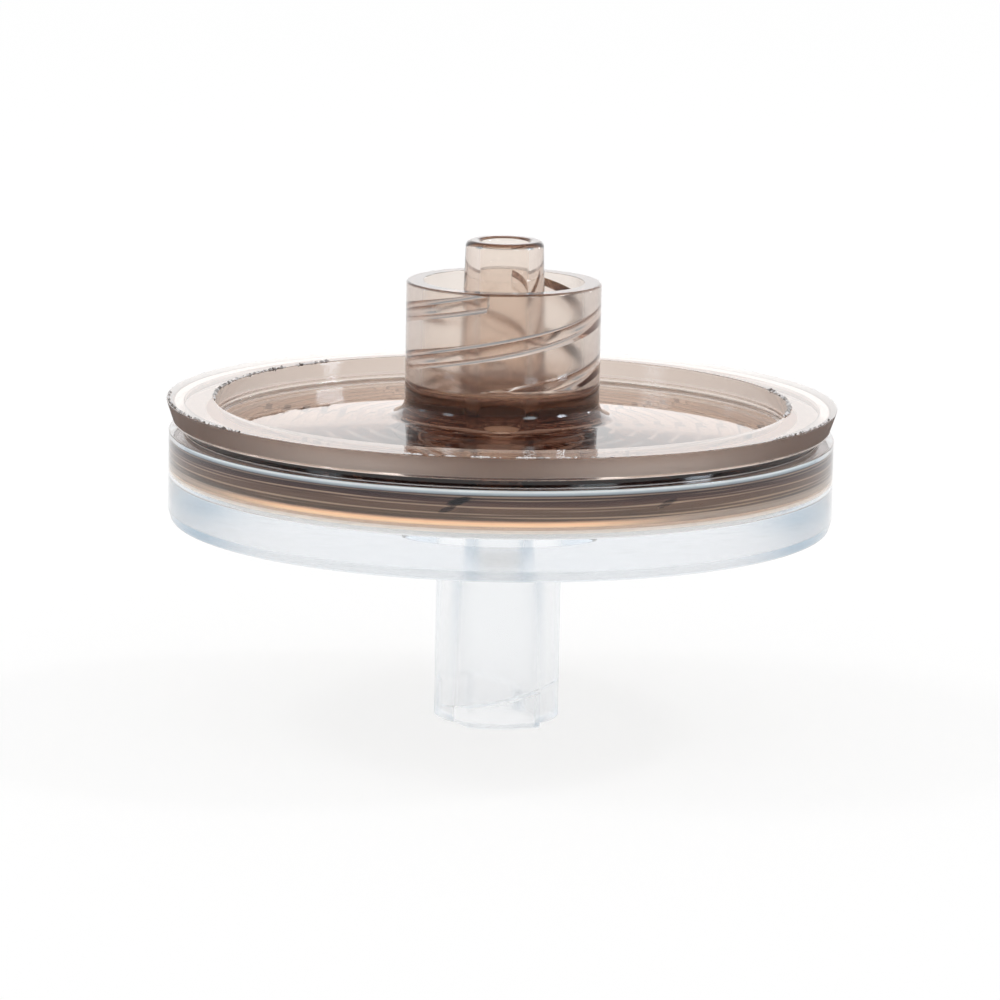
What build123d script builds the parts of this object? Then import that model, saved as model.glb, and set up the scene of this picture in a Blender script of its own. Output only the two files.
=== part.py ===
from build123d import *

import os
from math import atan, cos, degrees, pi, radians, sin, tan

# A syringe filter: a smoke-coloured outlet housing with a threaded male Luer
# fitting, welded into a clear cup with a female Luer stem, and a filter
# membrane held between the two. Millimetres, +Z along the flow axis, origin
# at the centre of the stem's foot. The front is -Y.

# ---------------------------------------------------------------- Luer taper
LUER_TAPER = 0.06  # change of diameter for each millimetre of length
THREAD_LEAD = 5.0
THREAD_STARTS = 2

# ---------------------------------------------------------------- inlet stem
STEM_DIA = 6.4
STEM_LENGTH = 10.25
SOCKET_MOUTH_DIA = 4.3
SOCKET_DEPTH = 8.6
SOCKET_END_CONE = 0.45
PORT_DIA = 2.5
LUG_REACH_DIA = 7.8
LUG_HEIGHT = 1.4  # at the middle of the crest
LUG_START_ANGLE = 248.0
LUG_END_ANGLE = 305.0
LUG_RAMP_ANGLE = 29.0  # plan angle between the lead-in ramp and the Y axis

# ---------------------------------------------------------------- inlet cup
INLET_PLATE = 1.8
SUPPLY_DEPTH = 0.35
CUP_WALL = 0.76
CUP_RIM_BEVEL = 0.2
CUP_FOOT_BEVEL = 0.35
RIM_GAP = 0.43  # from the cup's rim up to the flange

# ---------------------------------------------------------------- membrane
MEMBRANE_THICKNESS = 0.2
MEMBRANE_EDGE_CLEARANCE = 0.1

# ---------------------------------------------------------------- outlet plug
PLUG_DIA = 32.4
PLUG_HEIGHT = 2.38
WELD_WIDTH = 1.0
WELD_STEP = 0.25  # from the membrane's top up to the weld face
WELD_CLEARANCE = 0.04
CLAMP_WIDTH = 0.75
DRAIN_DEPTH = 0.45
DRAIN_RIB_WIDTH = 0.4
DRAIN_RIB_PITCH = 2.2
DRAIN_RIB_FIRST_RADIUS = 2.6
CHANNEL_COUNT = 10
CHANNEL_WIDTH = 0.8
CHANNEL_START_ANGLE = 262.0

# ---------------------------------------------------------------- flange
FLANGE_LEDGE = 0.29  # the flange's foot beyond the plug
FLANGE_FLARE = 0.65  # the flange's top beyond its foot
FLANGE_HEIGHT = 1.16
RIM_WIDTH = 2.49
RECESS_DEPTH = 1.26

# ---------------------------------------------------------------- outlet Luer
HUB_HEIGHT = 1.97  # recess floor up to the collar's inner floor
HUB_FILLET = 0.7
COLLAR_DIA = 9.96
COLLAR_BORE_DIA = 8.2
COLLAR_DEPTH = 5.45
CONE_LENGTH = 7.55
CONE_TIP_DIA = 3.97
CONE_TIP_BEVEL = 0.25
OUTLET_MOUTH_BEVEL = 0.2
OUTLET_BORE_DIA = 2.5
THREAD_HEIGHT = 0.58
THREAD_ROOT_WIDTH = 1.0
THREAD_CREST_WIDTH = 0.5
THREAD_TOP_SETBACK = 0.04  # the ridge's upper edge below the collar's top
THREAD_START_ANGLE = 259.0
EMBED = 0.3  # how far a ridge or rib is sunk into the wall that carries it

# ---------------------------------------------------------------- heights
disc_underside = STEM_LENGTH
supply_floor = disc_underside + INLET_PLATE
clamp_land = supply_floor + SUPPLY_DEPTH
membrane_top = clamp_land + MEMBRANE_THICKNESS
weld_face = membrane_top + WELD_STEP
drain_ceiling = membrane_top + DRAIN_DEPTH
flange_foot = weld_face + PLUG_HEIGHT
cup_rim = flange_foot - RIM_GAP
flange_top = flange_foot + FLANGE_HEIGHT
recess_floor = flange_top - RECESS_DEPTH
collar_floor = recess_floor + HUB_HEIGHT
collar_top = collar_floor + COLLAR_DEPTH
cone_tip = collar_floor + CONE_LENGTH

# ---------------------------------------------------------------- radii
plug_radius = PLUG_DIA / 2
weld_inner_radius = plug_radius - WELD_WIDTH
chamber_radius = weld_inner_radius - CLAMP_WIDTH
cup_bore_radius = plug_radius + WELD_CLEARANCE
cup_radius = cup_bore_radius + CUP_WALL
flange_foot_radius = plug_radius + FLANGE_LEDGE
flange_radius = flange_foot_radius + FLANGE_FLARE
recess_radius = flange_radius - RIM_WIDTH
collar_radius = COLLAR_DIA / 2
collar_bore_radius = COLLAR_BORE_DIA / 2
cone_tip_radius = CONE_TIP_DIA / 2
cone_root_radius = cone_tip_radius + CONE_LENGTH * LUER_TAPER / 2
stem_radius = STEM_DIA / 2
socket_mouth_radius = SOCKET_MOUTH_DIA / 2
socket_end_radius = socket_mouth_radius - SOCKET_DEPTH * LUER_TAPER / 2
lug_radius = LUG_REACH_DIA / 2


def turned(*corners):
    """A solid turned about Z from corners of (radius, height, corner round)."""
    points = [Vector(corner[0], 0, corner[1]) for corner in corners]
    rounds = [corner[2] if len(corner) > 2 else 0 for corner in corners]
    edges, last = [], None
    for i, point in enumerate(points):
        to_last = (points[i - 1] - point).normalized()
        to_next = (points[(i + 1) % len(points)] - point).normalized()
        half = radians(to_last.get_angle(to_next)) / 2
        start = point + to_last * (rounds[i] / tan(half))
        end = point + to_next * (rounds[i] / tan(half))
        if last is None:
            first = start
        else:
            edges.append(Line(last, start))
        if rounds[i]:
            inward = (to_last + to_next).normalized()
            middle = point + inward * (rounds[i] / sin(half) - rounds[i])
            edges.append(ThreePointArc(start, middle, end))
        last = end
    edges.append(Line(last, first))
    return revolve(make_face(edges), Axis.Z)


def ring(inner, outer, low, high):
    """A plain flat ring."""
    return turned((inner, low), (outer, low), (outer, high), (inner, high))


def drain_ribs():
    """Concentric ribs that hold the membrane, cut through by radial channels."""
    half = DRAIN_RIB_WIDTH / 2
    last = chamber_radius - DRAIN_RIB_PITCH / 2 - half
    count = int((last - DRAIN_RIB_FIRST_RADIUS) / DRAIN_RIB_PITCH) + 1
    middles = [DRAIN_RIB_FIRST_RADIUS + i * DRAIN_RIB_PITCH for i in range(count)]
    low, high = membrane_top, drain_ceiling + EMBED
    rings = [ring(m - half, m + half, low, high) for m in middles]
    bar = Box(chamber_radius, CHANNEL_WIDTH, 2 * DRAIN_DEPTH)
    bar = Pos(chamber_radius / 2, 0, drain_ceiling - DRAIN_DEPTH) * bar
    step = 360 / CHANNEL_COUNT
    turns = [CHANNEL_START_ANGLE + i * step for i in range(CHANNEL_COUNT)]
    return Part() + rings - [Rot(0, 0, turn) * bar for turn in turns]


def thread_ridge(start_angle):
    """One start of the collar's thread, from its end face down into the hub."""
    top_middle = collar_top - THREAD_TOP_SETBACK - THREAD_ROOT_WIDTH / 2
    bottom_middle = collar_floor - THREAD_ROOT_WIDTH / 2 - EMBED / 2
    height = top_middle - bottom_middle
    crest = collar_bore_radius - THREAD_HEIGHT
    spread = THREAD_ROOT_WIDTH - THREAD_CREST_WIDTH
    root_width = THREAD_ROOT_WIDTH + spread * EMBED / THREAD_HEIGHT
    root = collar_bore_radius + EMBED
    path = Helix(THREAD_LEAD, height, collar_bore_radius)
    section = Plane.XZ * make_face(
        Polyline(
            (root, -root_width / 2),
            (crest, -THREAD_CREST_WIDTH / 2),
            (crest, THREAD_CREST_WIDTH / 2),
            (root, root_width / 2),
            close=True,
        )
    )
    ridge = sweep(section, path, is_frenet=True)
    turn = start_angle - 360 * height / THREAD_LEAD
    return Pos(0, 0, bottom_middle) * Rot(0, 0, turn) * ridge


def outlet_housing():
    """Plug, flange, recessed plate, hub, threaded collar and male cone."""
    bore = OUTLET_BORE_DIA / 2
    tip_side = cone_tip_radius + CONE_TIP_BEVEL * LUER_TAPER / 2
    body = turned(
        (bore, drain_ceiling),
        (chamber_radius, drain_ceiling),
        (chamber_radius, membrane_top),
        (weld_inner_radius - WELD_CLEARANCE, membrane_top),
        (weld_inner_radius - WELD_CLEARANCE, weld_face),
        (plug_radius, weld_face),
        (plug_radius, flange_foot),
        (flange_foot_radius, flange_foot),
        (flange_radius, flange_top),
        (recess_radius, flange_top),
        (recess_radius, recess_floor),
        (collar_radius, recess_floor, HUB_FILLET),
        (collar_radius, collar_top),
        (collar_bore_radius, collar_top),
        (collar_bore_radius, collar_floor),
        (cone_root_radius, collar_floor),
        (tip_side, cone_tip - CONE_TIP_BEVEL),
        (cone_tip_radius - CONE_TIP_BEVEL, cone_tip),
        (bore + OUTLET_MOUTH_BEVEL, cone_tip),
        (bore, cone_tip - OUTLET_MOUTH_BEVEL),
    )
    starts = [
        thread_ridge(THREAD_START_ANGLE + 360 * i / THREAD_STARTS)
        for i in range(THREAD_STARTS)
    ]
    return body + drain_ribs() + starts


def foot_lug():
    """One lug of the stem's foot: a crest on the lead, with a straight ramp."""
    size = 2 * LUG_REACH_DIA
    blank = Cylinder(lug_radius, size)
    start = radians(LUG_START_ANGLE)
    crest_corner = Pos(lug_radius * cos(start), lug_radius * sin(start))
    cutter = Box(size, size, size)
    beyond_ramp = crest_corner * Rot(0, 0, LUG_RAMP_ANGLE) * Pos(-size / 2, 0) * cutter
    behind_ramp = Rot(0, 0, LUG_RAMP_ANGLE) * Pos(0, size / 2) * cutter
    past_end = Rot(0, 0, LUG_END_ANGLE) * Pos(0, size / 2) * cutter
    slab = Box(2 * size, 2 * size, size)
    below = Pos(0, 0, -size / 2) * slab
    middle_angle = (LUG_START_ANGLE + LUG_END_ANGLE) / 2
    middle_radius = (stem_radius + lug_radius) / 2
    slope = degrees(atan(THREAD_LEAD / (2 * pi * middle_radius)))
    top = Rot(0, 0, middle_angle) * Pos(0, 0, LUG_HEIGHT) * Rot(slope, 0, 0)
    above = top * Pos(0, 0, size / 2) * slab
    return blank - beyond_ramp - behind_ramp - past_end - below - above


def inlet_housing():
    """Cup with its welded rim, plate, feed port, socket stem and lugs."""
    body = turned(
        (PORT_DIA / 2, supply_floor),
        (chamber_radius, supply_floor),
        (chamber_radius, clamp_land),
        (weld_inner_radius, clamp_land),
        (weld_inner_radius, weld_face),
        (cup_bore_radius, weld_face),
        (cup_bore_radius, cup_rim),
        (cup_radius - CUP_RIM_BEVEL, cup_rim),
        (cup_radius, cup_rim - CUP_RIM_BEVEL),
        (cup_radius, disc_underside + CUP_FOOT_BEVEL),
        (cup_radius - CUP_FOOT_BEVEL, disc_underside),
        (stem_radius, disc_underside),
        (stem_radius, 0),
        (socket_mouth_radius, 0),
        (socket_end_radius, SOCKET_DEPTH),
        (PORT_DIA / 2, SOCKET_DEPTH + SOCKET_END_CONE),
    )
    bore = Cylinder(socket_mouth_radius, 4 * LUG_HEIGHT)
    lugs = [Rot(0, 0, turn) * (foot_lug() - bore) for turn in (0, 180)]
    return body + lugs


def membrane():
    """The filter disc, clamped at its edge between the two housings."""
    radius = weld_inner_radius - MEMBRANE_EDGE_CLEARANCE
    disc = Cylinder(
        radius, MEMBRANE_THICKNESS, align=(Align.CENTER, Align.CENTER, Align.MIN)
    )
    return Pos(0, 0, clamp_land) * disc


os.makedirs("parts", exist_ok=True)
for name, make in (
    ("outlet_housing", outlet_housing),
    ("inlet_housing", inlet_housing),
    ("membrane", membrane),
):
    export_step(make(), f"parts/{name}.step")
    print("wrote", name)
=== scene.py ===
# %% [markdown]
# # A syringe filter in clear and smoke-tinted plastic
# Two mouldings are welded into one another with a thin white disc between them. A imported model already
# fixes every size: the frame is loaded first, camera, light and floor follow, and then each piece is worked
# out as a surface of numbers and can be judged at once.

# %% Load the frame
from math import cos, radians, sin

import bmesh
import bpy
import numpy as np
from mathutils import Matrix, Vector


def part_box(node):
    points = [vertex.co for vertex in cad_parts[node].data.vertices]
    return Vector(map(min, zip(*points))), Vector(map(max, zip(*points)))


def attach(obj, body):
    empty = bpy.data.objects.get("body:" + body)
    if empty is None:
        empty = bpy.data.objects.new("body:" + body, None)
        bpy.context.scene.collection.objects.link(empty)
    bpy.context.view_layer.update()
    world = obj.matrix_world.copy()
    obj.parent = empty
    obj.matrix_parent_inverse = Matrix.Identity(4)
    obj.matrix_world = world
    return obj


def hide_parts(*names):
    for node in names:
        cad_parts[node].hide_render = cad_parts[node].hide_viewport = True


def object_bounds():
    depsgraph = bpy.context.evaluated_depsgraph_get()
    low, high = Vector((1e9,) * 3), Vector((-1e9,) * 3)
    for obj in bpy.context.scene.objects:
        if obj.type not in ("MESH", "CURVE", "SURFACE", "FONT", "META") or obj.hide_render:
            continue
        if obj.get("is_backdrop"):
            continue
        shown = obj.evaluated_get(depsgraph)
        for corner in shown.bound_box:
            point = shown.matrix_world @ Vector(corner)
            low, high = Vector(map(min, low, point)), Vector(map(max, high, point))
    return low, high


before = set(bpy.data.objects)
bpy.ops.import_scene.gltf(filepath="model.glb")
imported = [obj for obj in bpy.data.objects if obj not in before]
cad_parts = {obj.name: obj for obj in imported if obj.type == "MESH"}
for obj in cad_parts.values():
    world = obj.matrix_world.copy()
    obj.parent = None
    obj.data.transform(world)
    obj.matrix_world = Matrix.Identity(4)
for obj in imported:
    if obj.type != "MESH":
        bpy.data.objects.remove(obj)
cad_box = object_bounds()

print("nodes of the frame:", sorted(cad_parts))
print("box of the frame in metres:", cad_box)

# %% [markdown]
# ## Sizes
# The frame is in metres, but a part this small is easier to think about in millimetres. Outside sizes and
# the levels at which the pieces meet come from the frame's own boxes, so the looks can't drift from the
# construction. A wall or a step that no box shows is a named value here.

# %% Sizes read from the frame, in millimetres
MM = 0.001

_, outlet_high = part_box("outlet_housing")
_, inlet_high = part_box("inlet_housing")
disc_low, disc_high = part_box("membrane")

flange_radius = outlet_high.x / MM
cone_tip = outlet_high.z / MM
cup_radius = inlet_high.x / MM
cup_rim = inlet_high.z / MM
clamp_land = disc_low.z / MM
disc_top = disc_high.z / MM
disc_radius = disc_high.x / MM

print(f"flange radius {flange_radius:.2f}, cup radius {cup_radius:.2f}, disc radius {disc_radius:.2f}")
print(f"levels: clamp land {clamp_land:.2f}, disc top {disc_top:.2f}, cup rim {cup_rim:.2f}")
print(f"cone tip at {cone_tip:.2f}")

# %% Walls, steps and fits, in millimetres
CUP_WALL = 0.76
WELD_WIDTH = 1.0
WELD_STEP = 0.25
WELD_CLEARANCE = 0.04
CLAMP_WIDTH = 0.75
DRAIN_DEPTH = 0.45
RIM_GAP = 0.43
FLANGE_LEDGE = 0.55
FLANGE_HEIGHT = 1.16
RIM_WIDTH = 2.49
RECESS_DEPTH = 1.26
HUB_HEIGHT = 1.97
HUB_FILLET = 0.85
COLLAR_RADIUS = 4.98
COLLAR_BORE_RADIUS = 4.1
COLLAR_DEPTH = 5.45
POCKET_ROUND = 0.3
FLOOR_RISE = 0.5
CONE_TIP_RADIUS = 1.985
LUER_SLOPE = 0.03
OUTLET_BORE_RADIUS = 1.25
SKIN_GAP = 0.01
BOND_SETBACK = 0.37
POLISHED_EDGE = 0.13

cup_bore_radius = cup_radius - CUP_WALL
plug_radius = cup_bore_radius - WELD_CLEARANCE
weld_inner_radius = plug_radius - WELD_WIDTH
chamber_radius = weld_inner_radius - CLAMP_WIDTH
weld_face = disc_top + WELD_STEP
drain_ceiling = disc_top + DRAIN_DEPTH
flange_foot = cup_rim + RIM_GAP
flange_top = flange_foot + FLANGE_HEIGHT
flange_foot_radius = plug_radius + FLANGE_LEDGE
recess_radius = flange_radius - RIM_WIDTH
flange_lean = (flange_radius - flange_foot_radius) / FLANGE_HEIGHT
recess_floor = flange_top - RECESS_DEPTH
collar_floor = recess_floor + HUB_HEIGHT
collar_top = collar_floor + COLLAR_DEPTH
bond_top = cup_rim - BOND_SETBACK
cone_root_radius = CONE_TIP_RADIUS + (cone_tip - collar_floor) * LUER_SLOPE
print(f"recess floor {recess_floor:.2f}, collar floor {collar_floor:.2f}, collar top {collar_top:.2f}")

# %% [markdown]
# ## Camera
# A long lens from a little above: from far off, near and far edges keep almost the same scale. The head
# leans by one degree, as a hand-set tripod's often does. The camera's matrix is built from three
# perpendicular directions, which leaves no doubt about the order of its angles.

# %% New object
def new_object(name, data):
    """An object that holds the data, in the scene."""
    piece = bpy.data.objects.new(name, data)
    bpy.context.scene.collection.objects.link(piece)
    return piece


# %% Camera
EYE = (0.0, -0.28045, 0.06302)
PITCH_DOWN = radians(10.47)
LEAN = radians(1.09)
FOCAL_LENGTH = 200.1


def studio_camera():
    """A camera that looks along +Y and down by the pitch, turned about its line of sight by the lean."""
    ahead = np.array([0.0, cos(PITCH_DOWN), -sin(PITCH_DOWN)])
    level = np.array([1.0, 0.0, 0.0])
    upright = np.cross(level, ahead)
    right = level * cos(LEAN) + upright * sin(LEAN)
    up = upright * cos(LEAN) - level * sin(LEAN)
    lens = bpy.data.cameras.new("camera")
    lens.lens = FOCAL_LENGTH
    lens.clip_start = 0.01
    camera = new_object("camera", lens)
    camera.matrix_world = Matrix(np.column_stack([right, up, -ahead, EYE]).tolist()).to_4x4()
    bpy.context.scene.camera = camera
    return camera


camera = studio_camera()
print("camera at", tuple(round(v, 4) for v in camera.matrix_world.translation))

# %% [markdown]
# ## Light and ground
# Clear plastic shows nothing but its surroundings, so the surroundings are the light. The world is white
# behind the part and near the horizon and dim overhead and on the camera's side, so a polished face that
# leans forward mirrors something darker, which draws its edge. Five bright round windows make the glints.
# The camera itself always finds plain white, and rays that leave a clear piece find a cooler strip low at
# the sides, which gives clear plastic its bluish ends. The melt and the disc lie inside plastic, where no
# lamp's light arrives, so the world sends them more. Two soft lamps overhead shape the floor's shadow, and
# one behind lights the rim and mirrors in it.

# %% Node helpers
def fill_in(node, inputs):
    """Gives each named input of a node a value, or joins it to a socket."""
    for name, value in inputs.items():
        if isinstance(value, bpy.types.NodeSocket):
            node.id_data.links.new(value, node.inputs[name])
        else:
            node.inputs[name].default_value = value


def add_node(tree, kind, inputs=None, **settings):
    """A node of that kind, with its settings and its inputs filled in."""
    node = tree.nodes.new(kind)
    for name, value in settings.items():
        setattr(node, name, value)
    fill_in(node, inputs or {})
    return node


def new_material(name):
    """A material, its node tree and that tree's Principled shader."""
    material = bpy.data.materials.new(name)
    material.use_nodes = True
    tree = material.node_tree
    return material, tree, tree.nodes["Principled BSDF"]


def maths(operation, first, second=0.0):
    """The result of one sum on two values, one of which at least is a socket."""
    tree = (first if isinstance(first, bpy.types.NodeSocket) else second).id_data
    return add_node(tree, "ShaderNodeMath", {0: first, 1: second}, operation=operation).outputs[0]


def times(first, second):
    """The product of two numbers."""
    return maths("MULTIPLY", first, second)


def minus(first, second):
    """The difference of two numbers."""
    return maths("SUBTRACT", first, second)


def split(place):
    """The three parts of a place or a direction."""
    return add_node(place.id_data, "ShaderNodeSeparateXYZ", {0: place}).outputs


def smooth_step(value, low, high):
    """0 at low, 1 at high and a smooth run between; low may be the larger of the two."""
    inputs = {0: value, 1: low, 2: high}
    return add_node(value.id_data, "ShaderNodeMapRange", inputs, interpolation_type="SMOOTHSTEP").outputs[0]


def mixed(share, first, second):
    """A colour between two, by a share from 0 to 1."""
    inputs = {0: share, 6: first, 7: second}
    return add_node(share.id_data, "ShaderNodeMix", inputs, data_type="RGBA").outputs[2]


def blended(share, first, second):
    """A number between two, by a share from 0 to 1."""
    inputs = {0: share, 2: first, 3: second}
    return add_node(share.id_data, "ShaderNodeMix", inputs, data_type="FLOAT").outputs[0]


def object_place(tree):
    """The place on the piece, in metres."""
    return add_node(tree, "ShaderNodeTexCoord").outputs["Object"]


FINE_DETAIL = 6.0


def noise(place, scale, detail=2.0):
    """A soft random pattern between 0 and 1."""
    inputs = {"Vector": place, "Scale": scale, "Detail": detail}
    return add_node(place.id_data, "ShaderNodeTexNoise", inputs).outputs[0]


def face_value(tree, name):
    """The number that mark_faces stored on the faces."""
    return add_node(tree, "ShaderNodeAttribute", attribute_name=name).outputs["Fac"]


# %% Studio levels
BLACK = (0.0, 0.0, 0.0, 1.0)
WHITE = (1.0, 1.0, 1.0, 1.0)
DIM = (0.20, 0.20, 0.22, 1.0)
SIDE_GLOW = (0.42, 0.55, 0.66, 1.0)
SKY_GLOW = (0.34, 0.48, 0.60, 1.0)
LOW_WHITE = (0.95, 0.96, 0.975, 1.0)
STUDIO_LEVEL = 0.8
MATT_FROM_ABOVE = 2.6
MATT_FROM_ASIDE = 2.9
# Runs of a direction's parts: where the world turns white behind the part, where it stays white below, what
# counts as near the ground and as level, and how far from straight behind the part its sides begin.
BEHIND = (-0.35, 0.35)
BELOW = (0.8, 0.35)
NEAR_GROUND = (0.35, 0.2)
LEVEL = (0.5, 0.3)
SIDES = (0.90, 0.60)


def at_sides(place):
    """1 at the part's sides and in front and 0 behind it, by the share of the flat length that points along
    +Y, and that flat length."""
    tree, parts = place.id_data, split(place)
    flat = add_node(tree, "ShaderNodeCombineXYZ", {0: parts[0], 1: parts[1]}).outputs[0]
    length = add_node(tree, "ShaderNodeVectorMath", {0: flat}, operation="LENGTH").outputs["Value"]
    return smooth_step(maths("DIVIDE", parts[1], length), *SIDES), length


# %% Windows
# Direction from the part, half width in degrees and brightness.
WINDOWS = (
    ((0.961, -0.249, 0.125), 8.0, (12.0, 13.5, 15.0)),
    ((0.834, 0.550, 0.060), 4.0, (9.0, 9.5, 10.0)),
    ((0.550, -0.816, 0.182), 10.0, (5.0, 5.8, 6.2)),
    ((-0.903, -0.406, 0.139), 9.0, (3.4, 3.9, 4.3)),
    ((-0.956, 0.288, 0.060), 5.0, (2.5, 3.0, 3.5)),
)


def window(toward, direction, half_width):
    """1 in a round patch of the world about that direction, with a soft edge: the cosine of the angle to
    it is compared with the cosines of the half width and of half of that."""
    unit = Vector(direction).normalized()
    pair = {0: toward, 1: unit}
    product = add_node(toward.id_data, "ShaderNodeVectorMath", pair, operation="DOT_PRODUCT")
    return smooth_step(product.outputs["Value"], cos(radians(half_width)), cos(radians(half_width / 2)))


# %% World
def studio_world():
    """White for the camera. Mirrored rays find it dim overhead and in front, rays that leave a clear piece
    find it cooler low down at the sides, and matt surfaces get an even pale light."""
    world = bpy.data.worlds.new("studio")
    world.use_nodes = True
    tree = world.node_tree
    tree.nodes.clear()
    toward = add_node(tree, "ShaderNodeTexCoord").outputs["Generated"]
    _, depth, height = split(toward)
    path = add_node(tree, "ShaderNodeLightPath").outputs
    mirrored = mixed(times(smooth_step(depth, *BEHIND), smooth_step(height, *BELOW)), DIM, WHITE)
    for direction, half_width, brightness in WINDOWS:
        mirrored = mixed(window(toward, direction, half_width), mirrored, (*brightness, 1.0))
    near_ground = smooth_step(height, *NEAR_GROUND)
    cool = times(at_sides(toward)[0], near_ground)
    through = mixed(cool, mixed(near_ground, WHITE, LOW_WHITE), SKY_GLOW)
    matt = maths("GREATER_THAN", path["Diffuse Depth"], 0.5)
    colour = mixed(path["Is Glossy Ray"], WHITE, mirrored)
    colour = mixed(path["Is Transmission Ray"], colour, through)
    colour = mixed(matt, colour, WHITE)
    strength = blended(smooth_step(height, *LEVEL), MATT_FROM_ABOVE, MATT_FROM_ASIDE)
    strength = blended(path["Is Diffuse Ray"], blended(matt, 1.0, strength), STUDIO_LEVEL)
    light = add_node(tree, "ShaderNodeBackground", {"Color": colour, "Strength": strength})
    out = add_node(tree, "ShaderNodeOutputWorld")
    tree.links.new(light.outputs[0], out.inputs["Surface"])
    bpy.context.scene.world = world
    return world


world = studio_world()
print("world nodes:", len(world.node_tree.nodes))


# %% Lamps
LAMP_AIM = (0.0, 0.0, 0.015)


def soft_lamp(name, place, width, height, power, mirrored):
    """A flat area lamp that faces the middle of the part. Clear pieces never show it, and polished faces
    show it only where it is to be mirrored."""
    lamp = bpy.data.lights.new(name, "AREA")
    lamp.shape = "RECTANGLE"
    lamp.size, lamp.size_y = width, height
    lamp.energy = power
    holder = new_object(name, lamp)
    aim = Vector(LAMP_AIM) - Vector(place)
    holder.matrix_world = Matrix.Translation(place) @ aim.to_track_quat("-Z", "Y").to_matrix().to_4x4()
    holder.visible_transmission = False
    holder.visible_glossy = mirrored


soft_lamp("key_right", (0.32, 0.11, 0.45), 0.08, 0.08, 0.40, False)
soft_lamp("key_left", (-0.32, 0.08, 0.46), 0.16, 0.12, 0.40, False)
soft_lamp("back_light", (0.0, 0.75, 0.16), 0.70, 0.30, 0.38, True)
print("lamps:", sorted(lamp.name for lamp in bpy.data.lights))

# %% Floor
FLOOR_RADIUS = 1.4
FLOOR_DROP = 0.00002
FLOOR_POINTS = 96
FLOOR_GLOW = 0.75
# Distances from the axis, in metres, over which the cool strip comes and goes.
COOL_STRIP = ((0.050, 0.062), (0.105, 0.088))


def floor_mesh():
    """A flat round face just below the part: points at equal angles on a circle."""
    turn = np.linspace(0.0, 2 * np.pi, FLOOR_POINTS, endpoint=False)
    circle = FLOOR_RADIUS * np.column_stack([np.cos(turn), np.sin(turn), 0 * turn])
    mesh = bpy.data.meshes.new("floor")
    mesh.from_pydata((circle - [0.0, 0.0, FLOOR_DROP]).tolist(), [], [list(range(FLOOR_POINTS))])
    return mesh


def floor_material():
    """White paper: a matt share that takes the shadow, and a glowing share that keeps it white to the lens.
    Rays that leave a clear piece find a cooler strip at the sides, as they do in the world."""
    material, tree, shader = new_material("paper_floor")
    tree.nodes.remove(shader)
    path = add_node(tree, "ShaderNodeLightPath").outputs
    sides, distance = at_sides(object_place(tree))
    near, far = COOL_STRIP
    strip = times(smooth_step(distance, *near), smooth_step(distance, *far))
    cooler = mixed(times(sides, strip), WHITE, SIDE_GLOW)
    colour = mixed(path["Is Transmission Ray"], WHITE, cooler)
    matt = add_node(tree, "ShaderNodeBsdfDiffuse", {"Color": colour})
    glow = add_node(tree, "ShaderNodeEmission", {"Color": colour})
    seen = maths("MAXIMUM", path["Is Camera Ray"], path["Is Glossy Ray"])
    seen = maths("MAXIMUM", seen, path["Is Transmission Ray"])
    share = times(seen, FLOOR_GLOW)
    both = add_node(tree, "ShaderNodeMixShader", {0: share, 1: matt.outputs[0], 2: glow.outputs[0]})
    tree.links.new(both.outputs[0], tree.nodes["Material Output"].inputs["Surface"])
    return material


floor = new_object("floor", floor_mesh())
floor.data.materials.append(floor_material())
floor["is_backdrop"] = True
print("floor faces:", len(floor.data.polygons))

# %% [markdown]
# ## Turned profiles
# Both mouldings come out of a round tool, so each is a profile carried round the axis. Real edges are never
# quite sharp, and in clear plastic the tiny round at an edge draws its line. So each corner has a round of
# its own, fenced by one more row close to it, which keeps the round's shading off the flat beside it.

# %% Profile of rounded corners
FENCE = 0.03
ROOM_USED = 0.98


def rounded(*corners, steps=4):
    """Rows (radius, height) through corners (radius, height, round). A round gives rows at equal angles
    about its own centre, from one tangent point to the other, and a fence row on each side."""
    points = np.array([corner[:2] for corner in corners], float)
    rounds = [corner[2] if len(corner) > 2 else 0.0 for corner in corners]
    rows = []
    for i, point in enumerate(points):
        if rounds[i] == 0.0 or i in (0, len(points) - 1):
            rows.append(point[None])
            continue
        back = points[i - 1] - point
        ahead = points[i + 1] - point
        back_room, ahead_room = np.linalg.norm(back), np.linalg.norm(ahead)
        back, ahead = back / back_room, ahead / ahead_room
        half = np.arccos(np.clip(back @ ahead, -1, 1)) / 2
        reach = rounds[i] / np.tan(half)
        inward = (back + ahead) / np.linalg.norm(back + ahead)
        centre = point + inward * rounds[i] / np.sin(half)
        first, last = point + back * reach - centre, point + ahead * reach - centre
        sweep = np.pi - 2 * half
        share = np.linspace(0.0, 1.0, steps + 1)[:, None]
        arc = (np.sin((1 - share) * sweep) * first + np.sin(share * sweep) * last) / np.sin(sweep)
        fence_back = point + back * min(reach + FENCE, back_room * ROOM_USED)
        fence_ahead = point + ahead * min(reach + FENCE, ahead_room * ROOM_USED)
        rows.append(np.vstack([fence_back, centre + arc, fence_ahead]))
    return np.vstack(rows)


print("a test corner has", len(rounded((0, 0), (1, 0, 0.1), (1, 1))), "rows")


# %% Surface of a closed grid
SAME_PLACE = 1e-7
SHARP_ANGLE = radians(32)


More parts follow.
